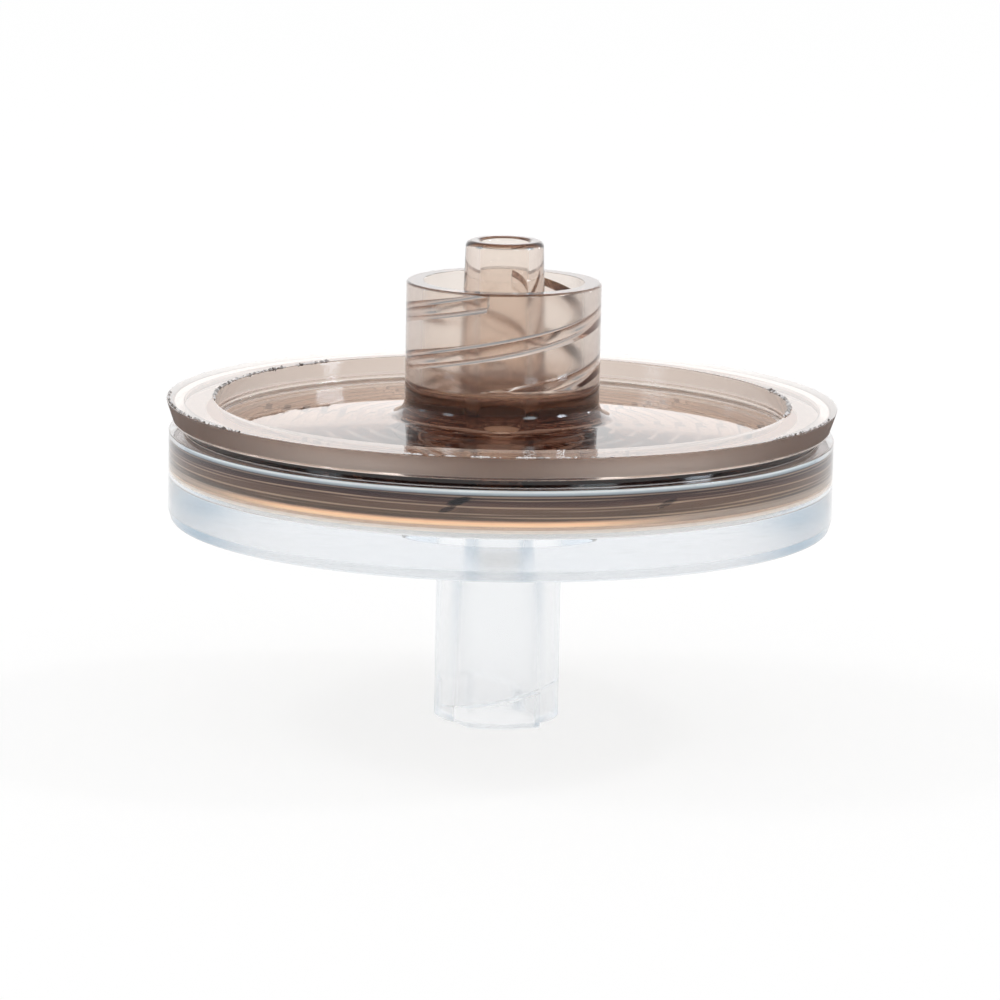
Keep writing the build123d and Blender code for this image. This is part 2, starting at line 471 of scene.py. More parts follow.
def grid_piece(name, radius, angle, height, seams=None):
    """A closed mesh from arrays (rows, columns): each point is (r cos a, r sin a, z) in millimetres, and
    the last row and column join the first. seams gives, for a column, the rows that its own rows meet in
    the next one where they aren't the same. Doubles are merged, which closes poles and seams."""
    radius, angle, height = np.broadcast_arrays(radius, angle, height)
    count, columns = radius.shape
    points = np.stack([radius * np.cos(angle), radius * np.sin(angle), height], axis=-1).reshape(-1, 3) * MM
    rows = np.arange(count)
    faces = []
    for column in range(columns):
        after = (column + 1) % columns
        met = (seams or {}).get(column, rows)
        corners = ((rows, column), (met, after), (np.roll(met, -1), after), (np.roll(rows, -1), column))
        faces.append(np.column_stack([row * columns + place for row, place in corners]))
    mesh = bpy.data.meshes.new(name)
    mesh.from_pydata(points, [], np.vstack(faces))
    work = bmesh.new()
    work.from_mesh(mesh)
    bmesh.ops.remove_doubles(work, verts=work.verts, dist=SAME_PLACE)
    bmesh.ops.dissolve_degenerate(work, edges=work.edges, dist=SAME_PLACE)
    bmesh.ops.delete(work, geom=[edge for edge in work.edges if not edge.link_faces], context="EDGES")
    work.to_mesh(mesh)
    open_edges = sum(not edge.is_manifold for edge in work.edges)
    work.free()
    mesh.shade_smooth()
    mesh.set_sharp_from_angle(angle=SHARP_ANGLE)
    piece = new_object(name, mesh)
    print(f"{name}: {len(mesh.vertices)} points, {len(mesh.polygons)} faces, {open_edges} open edges")
    return piece


# %% [markdown]
# ## The smoke-tinted moulding
# One moulding holds the plug, the wide flange, the recessed plate, the threaded collar and the Luer cone.
# It could be turned from one profile, but two features aren't round: the collar's two-start thread, and
# the ribs under the plate, which ten radial channels cut through. Both are worked into the turned grid: its
# columns lean so that one always lies on a channel's edge, and the collar's rows climb with the thread.

# %% Columns of the smoke moulding
CHANNEL_COUNT = 10
CHANNEL_HALF_WIDTH = 0.4
CHANNEL_START = 262.0
THREAD_START = 259.0
COLUMNS_BEFORE_THREAD = 31
COLUMNS_AFTER_THREAD = 3

sector = 360.0 / CHANNEL_COUNT
edge_angle = np.degrees(np.arcsin(CHANNEL_HALF_WIDTH / chamber_radius))
thread_offset = (THREAD_START - CHANNEL_START) % sector


def sector_columns():
    """Angles from a channel's middle to just before the next channel, and whether each column is in the
    channel. The channel's edges and the thread's end are doubled, so a wall can stand there."""
    channel = np.array([-edge_angle, 0.0, edge_angle])
    before = np.linspace(edge_angle, thread_offset, COLUMNS_BEFORE_THREAD)
    after = np.linspace(thread_offset, sector - edge_angle, COLUMNS_AFTER_THREAD)[:-1]
    offsets = np.concatenate([[-edge_angle], channel, before, after])
    inside = np.zeros(offsets.size, bool)
    inside[1:4] = True
    return offsets, inside


offsets, inside = sector_columns()
first_centre = THREAD_START - 180.0 - thread_offset
centres = first_centre + sector * np.arange(CHANNEL_COUNT + 1)
first_column = offsets.size - 2
column_count = offsets.size * CHANNEL_COUNT
picked = slice(first_column, first_column + column_count)
column_centre = np.repeat(centres, offsets.size)[picked]
column_offset = np.tile(offsets, CHANNEL_COUNT + 1)[picked]
in_channel = np.tile(inside, CHANNEL_COUNT + 1)[picked]
column_angle = column_centre + column_offset
print(f"{column_count} columns from {column_angle[0]:.1f} to {column_angle[-1]:.1f} degrees")


def leaning_angles(radius):
    """Angle of every column on a circle of that radius: the straight channel's edge lies at
    asin(half width / radius), and the columns beside it are stretched to follow it."""
    half = np.degrees(np.arcsin(CHANNEL_HALF_WIDTH / radius))
    known = [-sector / 2, -edge_angle, edge_angle, sector - edge_angle, sector]
    moved = [-sector / 2, -half, half, sector - half, sector]
    return column_centre + np.interp(column_offset, known, moved)


# %% Ribs and channels under the plate
RIB_FIRST_RADIUS = 2.6
RIB_PITCH = 1.1
RIB_HALF_WIDTH = 0.2


def rib_rows():
    """Rows under the plate, as arrays (rows, columns) of radius, angle and height. Each rib is four rows:
    down its inner wall, across its foot and up its outer wall. In a channel all four lie on the ceiling."""
    last = chamber_radius - RIB_PITCH / 2 - RIB_HALF_WIDTH
    middles = np.arange(RIB_FIRST_RADIUS, last, RIB_PITCH)
    radius = (middles[:, None] + RIB_HALF_WIDTH * np.array([-1, -1, 1, 1])).ravel()
    foot = np.tile([drain_ceiling, disc_top + SKIN_GAP, disc_top + SKIN_GAP, drain_ceiling], middles.size)
    height = np.where(in_channel[None], drain_ceiling, foot[:, None])
    angle = np.array([leaning_angles(r) for r in radius])
    return np.broadcast_arrays(radius[:, None], angle, height)


print("rib rows:", rib_rows()[0].shape[0])

# %% Thread of the collar
THREAD_LEAD = 5.0
THREAD_HEIGHT = 0.58
THREAD_ROOT_HALF = 0.5
THREAD_CREST_HALF = 0.25
THREAD_EDGE = 0.07
THREAD_CORNER_SHARE = 0.955
THREAD_SETBACK = 0.04
THREAD_SLOTS = (-1, 0, 1, 2)

thread_top = collar_top - THREAD_SETBACK
thread_foot = collar_floor + POCKET_ROUND + 2 * FENCE
half_turn = column_count // 2
start_of_half = np.repeat([THREAD_START, THREAD_START + 180.0], half_turn)
turned_back = start_of_half - column_angle
edges_of_crest = (THREAD_CREST_HALF - THREAD_EDGE, THREAD_CREST_HALF, THREAD_CREST_HALF + THREAD_EDGE)


def ridge_height(distance):
    """How far the ridge stands from the wall at an axial distance from its middle: a trapezoid whose two
    crest corners are rounded off."""
    slope = THREAD_HEIGHT / (THREAD_ROOT_HALF - THREAD_CREST_HALF)
    tall = [THREAD_HEIGHT, THREAD_HEIGHT * THREAD_CORNER_SHARE, THREAD_HEIGHT - slope * THREAD_EDGE, 0.0]
    return np.interp(np.abs(distance), [*edges_of_crest, THREAD_ROOT_HALF], tall)


def thread_rows():
    """Radius and height of the rows down the collar's bore, and the rows in a slot. Half a turn holds four
    slots, half a lead apart, whose rows follow the ridge's corners: slot s has its middle at
    top - lead * (angle turned back / 360 + s / 2). The first slot is plain wall, past the thread's end.
    Heights are held between the round at the pocket's floor and the top edge."""
    side = np.array([*edges_of_crest, THREAD_ROOT_HALF - FENCE, THREAD_ROOT_HALF, THREAD_ROOT_HALF + FENCE])
    steps = np.concatenate([side[::-1], -side])
    slots = np.array(THREAD_SLOTS)[:, None]
    middle = thread_top - THREAD_ROOT_HALF - THREAD_LEAD * (turned_back / 360 + slots / 2)
    height = (middle[:, None] + steps[:, None]).reshape(-1, column_count)
    height = np.clip(height, thread_foot, thread_top)
    ridges = [ridge_height(height - m) for m in middle[1:]]
    return COLLAR_BORE_RADIUS - np.max(ridges, axis=0), height, steps.size


thread_radius, thread_height, slot_rows = thread_rows()
print(f"thread rows: {thread_height.shape[0]}, crest radius {thread_radius.min():.2f} mm")


# %% The smoke moulding's grid
# Rounds at its corners, in millimetres.
NECK_ROUND = 0.05
FLANGE_FOOT_ROUND = 0.06
FLANGE_ROUND = 0.03
RECESS_EDGE_ROUND = 0.09
RECESS_FOOT_ROUND = 0.16
COLLAR_ROUND = 0.13
COLLAR_MOUTH_ROUND = 0.03
CONE_ROOT_ROUND = 0.2
CONE_TIP_ROUND = 0.3
BORE_ROUND = 0.22
PROFILE_STEPS = 8


def plain_rows(profile):
    """Rows that are the same all round, as arrays of radius, angle and height."""
    return np.broadcast_arrays(profile[:, :1], column_angle, profile[:, 1:])


def smoke_profile():
    """The turned rows outside, from the chamber's wall up to the collar's bore, and those inside, from the
    collar's floor up the cone and back down the flow bore."""
    outside = rounded(
        (chamber_radius, drain_ceiling),
        (chamber_radius, disc_top + SKIN_GAP),
        (weld_inner_radius - WELD_CLEARANCE, disc_top + SKIN_GAP),
        (weld_inner_radius - WELD_CLEARANCE, weld_face),
        (plug_radius, weld_face),
        (plug_radius, bond_top),
        (plug_radius, flange_foot, NECK_ROUND),
        (flange_foot_radius, flange_foot, FLANGE_FOOT_ROUND),
        (flange_foot_radius + POLISHED_EDGE * flange_lean, flange_foot + POLISHED_EDGE),
        (flange_radius, flange_top, FLANGE_ROUND),
        (recess_radius, flange_top, RECESS_EDGE_ROUND),
        (recess_radius, recess_floor, RECESS_FOOT_ROUND),
        (COLLAR_RADIUS, recess_floor + FLOOR_RISE, HUB_FILLET),
        (COLLAR_RADIUS, collar_floor),
        (COLLAR_RADIUS, collar_top, COLLAR_ROUND),
        (COLLAR_BORE_RADIUS, collar_top, COLLAR_MOUTH_ROUND),
        (COLLAR_BORE_RADIUS, thread_top),
        steps=PROFILE_STEPS,
    )
    inside = rounded(
        (COLLAR_BORE_RADIUS, thread_foot),
        (COLLAR_BORE_RADIUS, collar_floor, POCKET_ROUND),
        (cone_root_radius, collar_floor, CONE_ROOT_ROUND),
        (CONE_TIP_RADIUS, cone_tip, CONE_TIP_ROUND),
        (OUTLET_BORE_RADIUS, cone_tip, BORE_ROUND),
        (OUTLET_BORE_RADIUS, drain_ceiling),
        steps=PROFILE_STEPS,
    )
    return outside, inside


def smoke_moulding():
    """Ribs, turned rows, thread rows and turned rows again, in one closed grid. Where the thread ends, each
    row meets the row one slot back in the next column, which leaves the ridge's end as a flat face."""
    outside, inside = smoke_profile()
    thread = np.broadcast_arrays(thread_radius, column_angle, thread_height)
    last = [span.copy() for span in plain_rows(inside)]
    last[0][0] = thread_radius[-1]
    spans = [rib_rows(), plain_rows(outside), thread, last]
    radius, angle, height = (np.vstack([span[i] for span in spans]) for i in range(3))
    first_thread = len(spans[0][0]) + len(outside)
    past_thread = first_thread + len(thread_height)
    meets = np.arange(len(radius))
    meets[first_thread:past_thread] -= slot_rows
    meets[first_thread : first_thread + slot_rows] = first_thread - 1
    seams = {half_turn - 1: meets, column_count - 1: meets}
    return grid_piece("smoke_moulding", radius, np.radians(angle), height, seams)


smoke = smoke_moulding()
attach(smoke, "root")
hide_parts("outlet_housing")


# %% [markdown]
# ## The clear moulding
# The cup that holds the disc and the plug, and the stem below it, are one clear moulding. It is turned too,
# apart from the two lugs at the stem's foot that a locking collar screws onto. A lug is a stretch of the
# stem's foot that stands out: straight along its ramp, round along its crest, and cut off flat at its end.

# %% Sizes of the clear moulding, in millimetres
PLATE = 1.8
SUPPLY_DEPTH = 0.35
CUP_RIM_ROUND = 0.05
CUP_FOOT_DRAFT = (0.15, 0.55)
CUP_FOOT_ROUND = 0.12
STEM_ROOT_ROUND = 0.08
CHAMBER_ROUND = 0.1
PORT_ROUND = 0.3
STEM_RADIUS = 3.2
PORT_RADIUS = 1.25
SOCKET_DEPTH = 8.6
SOCKET_END_CONE = 0.45
SOCKET_MOUTH_RADIUS = 2.15
LUG_RADIUS = 3.9
LUG_HEIGHT = 1.4
LUG_EDGE = 0.06
LUG_STEM_ROOM = 1.6
LUG_RAMP_ANGLE = 209.0
LUG_CREST_ANGLE = 248.0
LUG_END_ANGLE = 305.0
RAMP_LIMIT = 80.0

supply_floor = clamp_land - SUPPLY_DEPTH
disc_underside = supply_floor - PLATE
socket_end_radius = SOCKET_MOUTH_RADIUS - SOCKET_DEPTH * LUER_SLOPE
lug_slope = THREAD_LEAD / (np.pi * (STEM_RADIUS + LUG_RADIUS))
print(f"disc underside {disc_underside:.2f}, lug slope {lug_slope:.3f}")


# %% Lugs
def lug_columns():
    """Angles all round, once a degree and twice at the lugs' ends, where a face stands, and for each column
    the radius that the lug reaches and its place along the lug."""
    angle = np.sort(np.concatenate([np.arange(360.0), [LUG_END_ANGLE - 180.0, LUG_END_ANGLE]]))
    past_end = np.concatenate([[False], np.diff(angle) == 0])
    along = (angle - LUG_RAMP_ANGLE) % 180.0 + LUG_RAMP_ANGLE
    on_lug = (along <= LUG_END_ANGLE) & ~past_end
    ramp_distance = LUG_RADIUS * cos(radians(LUG_CREST_ANGLE - LUG_RAMP_ANGLE))
    ramp = ramp_distance / np.cos(np.radians(np.minimum(along - LUG_RAMP_ANGLE, RAMP_LIMIT)))
    reach = np.where(on_lug, np.clip(ramp, STEM_RADIUS, LUG_RADIUS), STEM_RADIUS)
    return angle, reach, along


def lug_top(radius, along):
    """Height of the lug's sloping top: level + slope * radius * sin(angle from the lug's middle)."""
    middle = (LUG_CREST_ANGLE + LUG_END_ANGLE) / 2
    return LUG_HEIGHT + lug_slope * radius * np.sin(np.radians(along - middle))


def clear_moulding():
    """Turned rows, with the lug's rows let in between the foot and the stem: out along the foot, up the
    lug's side, and back along its sloping top."""
    angle, reach, along = lug_columns()
    level = np.zeros(angle.size)
    edge = reach - LUG_EDGE
    start = [level + SOCKET_MOUTH_RADIUS, edge, reach, reach, edge, level + STEM_RADIUS]
    top_out, top_in = lug_top(reach, along), lug_top(STEM_RADIUS, along)
    heights = [level, level, level + LUG_EDGE, top_out - LUG_EDGE, top_out, top_in]
    turned = rounded(
        (STEM_RADIUS, LUG_HEIGHT * LUG_STEM_ROOM),
        (STEM_RADIUS, disc_underside, STEM_ROOT_ROUND),
        (cup_radius - CUP_FOOT_DRAFT[0], disc_underside, CUP_FOOT_ROUND),
        (cup_radius, disc_underside + CUP_FOOT_DRAFT[1], CUP_FOOT_ROUND),
        (cup_radius, cup_rim, CUP_RIM_ROUND),
        (cup_bore_radius, cup_rim, CUP_RIM_ROUND),
        (cup_bore_radius, bond_top),
        (cup_bore_radius, weld_face - SKIN_GAP),
        (weld_inner_radius, weld_face - SKIN_GAP),
        (weld_inner_radius, clamp_land - SKIN_GAP),
        (chamber_radius, clamp_land - SKIN_GAP),
        (chamber_radius, supply_floor, CHAMBER_ROUND),
        (PORT_RADIUS, supply_floor, PORT_ROUND),
        (PORT_RADIUS, SOCKET_DEPTH + SOCKET_END_CONE),
        (socket_end_radius, SOCKET_DEPTH, CHAMBER_ROUND),
        (SOCKET_MOUTH_RADIUS, 0.0),
        steps=6,
    )[:-1]
    radius = np.vstack([start, turned[:, :1] + level])
    height = np.vstack([heights, turned[:, 1:] + level])
    return grid_piece("clear_moulding", radius, np.radians(angle), height)


clear = clear_moulding()
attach(clear, "root")
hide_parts("inlet_housing")

# %% [markdown]
# ## The filter disc
# The membrane is a thin white film. Between two ribs the flow has pressed it up a little, so its profile is
# a soft wave rather than a flat coin, and it can be told from paper through the plastic.

# %% Filter disc
DISC_SWELL = 0.03
DISC_ROWS = 96
DISC_COLUMNS = 120


def filter_disc():
    """A closed thin disc: the underside runs out and the upper side runs back, both raised by
    swell * sin(pi * distance past a rib / pitch) ** 2."""
    span = np.linspace(0.0, disc_radius, DISC_ROWS)
    wave = DISC_SWELL * np.sin(np.pi * (span - RIB_FIRST_RADIUS) / RIB_PITCH) ** 2
    low, high = clamp_land, disc_top - DISC_SWELL
    radius = np.concatenate([span, span[::-1]])
    height = np.concatenate([low + wave, (high + wave)[::-1]])
    turn = np.linspace(0.0, 2 * np.pi, DISC_COLUMNS, endpoint=False)
    return grid_piece("filter_disc", radius[:, None], turn, height[:, None])


disc = filter_disc()
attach(disc, "root")
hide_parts("membrane")

# %% [markdown]
# ## Plastics
# To a renderer, moulded clear plastic is glass with two differences: it swallows a little light for each
# millimetre that a ray crosses, and its skin is never perfect. The tint is therefore a volume, dark where
# the plastic is thick and pale where it is thin, and both mouldings get fine scuffs from one node group.


# %% Shared surface group
SKIN_INPUTS = {"Base Roughness": 0.02, "Scuff Roughness": 0.05, "Scuff Amount": 0.5, "Grain Size": 900.0}
SCUFF_RUN = (0.52, 0.78)
FLOW_SIZE = 260.0


def moulded_skin():
    """A node group with soft flow marks, as a height for a bump, and fine scuffs, as a roughness. Both come
    from Object coordinates in metres."""
    group = bpy.data.node_groups.new("moulded_skin", "ShaderNodeTree")
    for name, value in SKIN_INPUTS.items():
        socket = group.interface.new_socket(name, in_out="INPUT", socket_type="NodeSocketFloat")
        socket.default_value = value
    for name in ("Roughness", "Height"):
        group.interface.new_socket(name, in_out="OUTPUT", socket_type="NodeSocketFloat")
    given = add_node(group, "NodeGroupInput").outputs
    place = object_place(group)
    scuffs = smooth_step(noise(place, given["Grain Size"], FINE_DETAIL), *SCUFF_RUN)
    amount = times(scuffs, given["Scuff Amount"])
    extra = times(amount, given["Scuff Roughness"])
    roughness = maths("ADD", given["Base Roughness"], extra)
    add_node(group, "NodeGroupOutput", {"Roughness": roughness, "Height": noise(place, FLOW_SIZE)})
    return group


skin_group = moulded_skin()
print("skin group outputs:", [s.name for s in skin_group.interface.items_tree if s.in_out == "OUTPUT"])


# %% Marks on faces
def face_vectors(mesh, kind):
    """The middle of each face, in metres, or its unit normal: kind is center or normal."""
    values = np.empty(len(mesh.polygons) * 3, np.float32)
    mesh.polygons.foreach_get(kind, values)
    return values.reshape(-1, 3)


def face_places(mesh):
    """Radius and height in millimetres of the middle of each face."""
    middle = face_vectors(mesh, "center") / MM
    return np.hypot(middle[:, 0], middle[:, 1]), middle[:, 2]


def face_lift(mesh):
    """How far each face looks up: the height of its unit normal, 1 for level and 0 for upright."""
    return face_vectors(mesh, "normal")[:, 2]


def mark_faces(piece, name, values):
    """Stores one number for each face, which the material then reads by name."""
    mark = piece.data.attributes.new(name, "FLOAT", "FACE")
    mark.data.foreach_set("value", values.astype(np.float32))
    print(f"{piece.name}: {int((values > 0).sum())} faces marked {name}")


LEVEL_MARGIN = 0.004
WALL_MARGIN = 0.006


def between(values, low, high):
    """True where a value lies between two bounds."""
    return (values > low) & (values < high)


def on_level(places, level, inner, outer):
    """True for faces on a flat ring at that level between two radii."""
    radius, height = places
    return (np.abs(height - level) < LEVEL_MARGIN) & between(radius, inner, outer)


def on_wall(places, wall_radius, low, high):
    """True for faces on an upright wall of that radius between two levels."""
    radius, height = places
    return (np.abs(radius - wall_radius) < WALL_MARGIN) & between(height, low, high)


# %% Bonded faces
def bonds(places, walls, levels):
    """True on any of those walls and levels."""
    on_walls = [on_wall(places, *wall) for wall in walls]
    return np.any(on_walls + [on_level(places, *level) for level in levels], axis=0)


# The plug is welded to the cup on its wall and foot, the cup on its wall and land, and both hold the disc.
SMOKE_BONDS = (
    [(plug_radius, weld_face, bond_top)],
    [
        (weld_face, weld_inner_radius, plug_radius),
        (disc_top + SKIN_GAP, chamber_radius, weld_inner_radius),
    ],
)
CLEAR_BONDS = (
    [(cup_bore_radius, weld_face, bond_top), (weld_inner_radius, clamp_land, weld_face)],
    [
        (weld_face - SKIN_GAP, weld_inner_radius, cup_bore_radius),
        (clamp_land - SKIN_GAP, chamber_radius, weld_inner_radius),
    ],
)


# %% Painted shade and satin faces
# Shares of the painted shade tint, which darkens faces where the part lies in shade, and the heights and
# depths over which they come and go.
HUB_SHADE = (0.062, 0.74)
HUB_SHADE_RISE = (0.1, 0.9)
HUB_FOOT = 0.2
NECK_SHADE_FADE = (0.0, 6.0)
THREAD_SHADE = 0.545
RIM_SHADE = 0.78
# Roughness beyond the polish of the rest.
SATIN_FLANGE = 0.75
SATIN_BORE = 0.18
SATIN_HUB = 0.05
SATIN_CLEAR = 0.16
SATIN_ROOT = 0.4
MILKY_TOP = 0.2
ROOT_REACH = 0.4
# Margins round a wall or a level, and the least lift of a face on the thread's flank.
CLOSE = 0.01
NEAR = 0.02
FLANK_LIFT = 0.1


def hub_faces(places):
    """True on the outside of the solid hub, from its foot up to the pocket's floor."""
    radius, height = places
    outside = between(radius, COLLAR_RADIUS - CLOSE, COLLAR_RADIUS + HUB_FILLET / 2)
    return outside & between(height, recess_floor + HUB_FOOT, collar_floor)


def shade_faces(piece):
    """Share of the painted shade tint that a face has, which paints shade into what is seen through it:
    most of it on the upper hub and little at its foot, all of it on the front of the neck between flange
    and cup, and some on the thread's upper flanks."""
    places = radius, height = face_places(piece.data)
    rise = [recess_floor + FLOOR_RISE + step for step in HUB_SHADE_RISE]
    hub = hub_faces(places) * np.interp(height, rise, HUB_SHADE)
    neck = (np.abs(radius - plug_radius) < NEAR) & between(height, bond_top, flange_foot + NEAR)
    ahead = np.interp(face_vectors(piece.data, "center")[:, 1] / MM, NECK_SHADE_FADE, [1.0, 0.0])
    flank = between(radius, COLLAR_BORE_RADIUS - THREAD_HEIGHT + 2 * NEAR, COLLAR_BORE_RADIUS - NEAR)
    flank &= between(height, thread_foot, thread_top - NEAR) & (face_lift(piece.data) > FLANK_LIFT)
    return hub + neck * ahead + THREAD_SHADE * flank


def satin_smoke(piece):
    """Extra roughness: the flange's trimmed side is satin, and so, less, are the collar's bore, where the
    core was unscrewed, and the hub."""
    places = radius, height = face_places(piece.data)
    side = between(height, flange_foot + POLISHED_EDGE, flange_top - FENCE) & (radius > flange_foot_radius)
    bore = between(radius, COLLAR_BORE_RADIUS - THREAD_HEIGHT - NEAR, COLLAR_BORE_RADIUS + CLOSE)
    bore &= between(height, collar_floor + CLOSE, collar_top - CLOSE)
    bore &= np.abs(face_lift(piece.data)) < FLANK_LIFT
    return SATIN_FLANGE * side + SATIN_BORE * bore + SATIN_HUB * hub_faces(places)


def satin_clear(places):
    """Extra roughness: the cup's wall is polished down to the disc, all that lies lower is milky, and the
    stem's root is more so."""
    radius, height = places
    milky = height < clamp_land + MILKY_TOP
    root = between(radius, STEM_RADIUS - CLOSE, STEM_RADIUS + ROOT_REACH)
    root &= between(height, disc_underside - ROOT_REACH, disc_underside + CLOSE)
    return SATIN_CLEAR * milky + SATIN_ROOT * root


smoke_places, clear_places = face_places(smoke.data), face_places(clear.data)
clear_rim = on_level(clear_places, cup_rim, cup_bore_radius, cup_radius)
# Painted shade: the hub, the front of the neck and the thread's upper flanks on the smoke moulding, and the
# top of the cup's rim, are darkened through their Base Color.
mark_faces(smoke, "shade", shade_faces(smoke))
mark_faces(clear, "satin", satin_clear(clear_places))
mark_faces(clear, "shade", clear_rim * RIM_SHADE)
mark_faces(smoke, "bonded", bonds(smoke_places, *SMOKE_BONDS))
mark_faces(clear, "bonded", bonds(clear_places, *CLEAR_BONDS))
mark_faces(smoke, "satin", satin_smoke(smoke))


# %% Clear and smoke plastic
# Painted shade: the colour toward which the Base Color of faces marked shade is mixed, so that what is seen
# through them comes out darker.
PAINTED_SHADE_TINT = (0.10, 0.07, 0.065, 1.0)
LATE_DEPTH = 10.5
LATE_MIRRORS = 4.5
FLOW_STRENGTH = 0.03
FLOW_DEPTH = 0.00004


def late_light(tree, late_glow):
    """Painted light: black for a fresh ray, and an emitted glow for one that has been thrown about so often
    that it is about to be given up, standing in for the light that real plastic lets out pale and not
    black."""
    path = add_node(tree, "ShaderNodeLightPath").outputs
    deep = maths("GREATER_THAN", path["Ray Depth"], LATE_DEPTH)
    trapped = maths("GREATER_THAN", path["Glossy Depth"], LATE_MIRRORS)
    return mixed(maths("MAXIMUM", deep, trapped), BLACK, late_glow)


def clear_plastic(name, ior, tint, density, base_roughness, scuff_amount, base_color, late_glow):
    """Glass-like plastic: all light goes in, the volume swallows it at density * (1 - tint) for each metre,
    and bonded faces let it through unbent. Faces marked shade get painted shade in their Base Color."""
    material, tree, shader = new_material(name)
    polish = {"Base Roughness": base_roughness, "Scuff Amount": scuff_amount}
    skin = add_node(tree, "ShaderNodeGroup", polish, node_tree=skin_group).outputs
    flow = {"Height": skin["Height"], "Strength": FLOW_STRENGTH, "Distance": FLOW_DEPTH}
    looks = {
        # Painted shade: faces marked shade mix their Base Color toward the painted shade tint.
        "Base Color": mixed(face_value(tree, "shade"), base_color, PAINTED_SHADE_TINT),
        "Roughness": maths("ADD", skin["Roughness"], face_value(tree, "satin")),
        "IOR": ior,
        "Transmission Weight": 1.0,
        "Alpha": minus(1.0, face_value(tree, "bonded")),
        "Normal": add_node(tree, "ShaderNodeBump", flow).outputs[0],
        # Painted light: the plastic emits the late glow.
        "Emission Color": late_light(tree, late_glow),
        "Emission Strength": 1.0,
    }
    fill_in(shader, looks)
    swallow = add_node(tree, "ShaderNodeVolumeAbsorption", {"Color": tint, "Density": density})
    tree.links.new(swallow.outputs[0], tree.nodes["Material Output"].inputs["Volume"])
    material.cycles.emission_sampling = "NONE"
    return material


smoke_plastic = clear_plastic(
    "smoke_plastic",
    ior=1.53,
    tint=(0.455, 0.235, 0.105, 1.0),
    density=222.0,
    base_roughness=0.02,
    scuff_amount=0.4,
    base_color=(1.0, 0.965, 0.925, 1.0),
    late_glow=(0.13, 0.09, 0.07, 1.0),
)
clear_resin = clear_plastic(
    "clear_resin",
    ior=1.50,
    tint=(0.60, 0.80, 1.0, 1.0),
    density=3.0,
    base_roughness=0.04,
    scuff_amount=0.8,
    base_color=(0.973, 0.979, 0.985, 1.0),
    late_glow=(0.34, 0.36, 0.38, 1.0),
)
smoke.data.materials.append(smoke_plastic)
clear.data.materials.append(clear_resin)


# %% Membrane
FILM_HOLLOW = (0.88, 0.80, 0.71, 1.0)
FILM_FIBRE = (0.96, 0.88, 0.79, 1.0)
FIBRE_SIZE = 4000.0


def membrane_film():
    """Matt white film: a fine fibrous noise lifts and darkens it a little."""
    material, tree, shader = new_material("membrane_film")
    fibres = noise(object_place(tree), FIBRE_SIZE, FINE_DETAIL)
    bump = add_node(tree, "ShaderNodeBump", {"Height": fibres, "Strength": 0.4, "Distance": 0.00003})
    colour = mixed(fibres, FILM_HOLLOW, FILM_FIBRE)
    fill_in(shader, {"Base Color": colour, "Roughness": 0.85, "Normal": bump.outputs[0]})
    return material


disc.data.materials.append(membrane_film())

# %% [markdown]
# ## The weld seam
# The plug is welded into the cup by ultrasound, and through the clear wall the seam shows as a band: molten
# plastic froze there in fine level lines. The band's colour also paints light and shade: a bright orange
# bead at the foot is painted light, dark bands and a dark top are painted shade, a white band near the rim
# is partly whitened flash and partly a painted highlight, and the inner wall is painted paler than the
# outer.
# The film is as thin as the fit between the mouldings, so it is a ring with a section of its own. Its
# colour
# and its cover come from the height: nearly solid at both ends and a veil between them.

# %% Weld seam
SEAM_COLUMNS = 360
SEAM_INSET = 0.008
SEAM_FOOT_GAP = 0.03
SEAM_TOP_GAP = 0.022
# Height in millimetres, swells in a turn and first angle.
SEAM_WAVES = ((0.012, 5, 1.0), (0.010, 13, 0.0))

seam_low = weld_face + SKIN_GAP


def weld_seam():
    """A closed thin ring in the fit between plug and cup. Its upper edge swells and sinks by a few
    hundredths of a millimetre with two sines of the angle."""
    inner, outer = plug_radius + SEAM_INSET, cup_bore_radius - SEAM_INSET
    turn = np.linspace(0.0, 2 * np.pi, SEAM_COLUMNS, endpoint=False)
    wave = sum(swell * np.sin(count * turn + first) for swell, count, first in SEAM_WAVES)
    radius = np.array([outer, outer, inner, inner])[:, None]
    foot, top = seam_low + SEAM_FOOT_GAP, cup_rim - SEAM_TOP_GAP
    height = np.array([foot, top, top, foot])[:, None] + wave * np.array([0, 1, 1, 0])[:, None]
    return grid_piece("weld_seam", radius, turn, height)


seam = weld_seam()
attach(seam, "root")


# %% Melt
# Share of the height, colour and cover. The colours paint light and shade: the bright orange bead at the
# foot is painted light, the dark bands of the veil and the dark top are painted shade, and the white band
# is partly whitened flash and partly a painted highlight.
SEAM_STOPS = (
    (0.0, (0.80, 0.52, 0.36), 0.90),
    (0.05, (1.0, 0.68, 0.43), 0.98),
    (0.11, (1.0, 0.60, 0.36), 0.98),
    (0.145, (0.62, 0.36, 0.24), 0.70),
    (0.18, (0.085, 0.062, 0.046), 0.86),
    (0.45, (0.15, 0.094, 0.07), 0.80),
    (0.62, (0.07, 0.038, 0.034), 0.90),
    (0.80, (0.02, 0.012, 0.018), 0.96),
    (0.825, (0.30, 0.34, 0.37), 0.90),
    (0.865, (0.52, 0.60, 0.65), 0.96),
    (0.895, (0.90, 0.93, 0.92), 0.98),
    (0.945, (0.95, 0.95, 0.93), 0.98),
    (0.965, (0.10, 0.09, 0.09), 0.98),
    (1.0, (0.05, 0.045, 0.045), 0.98),
)
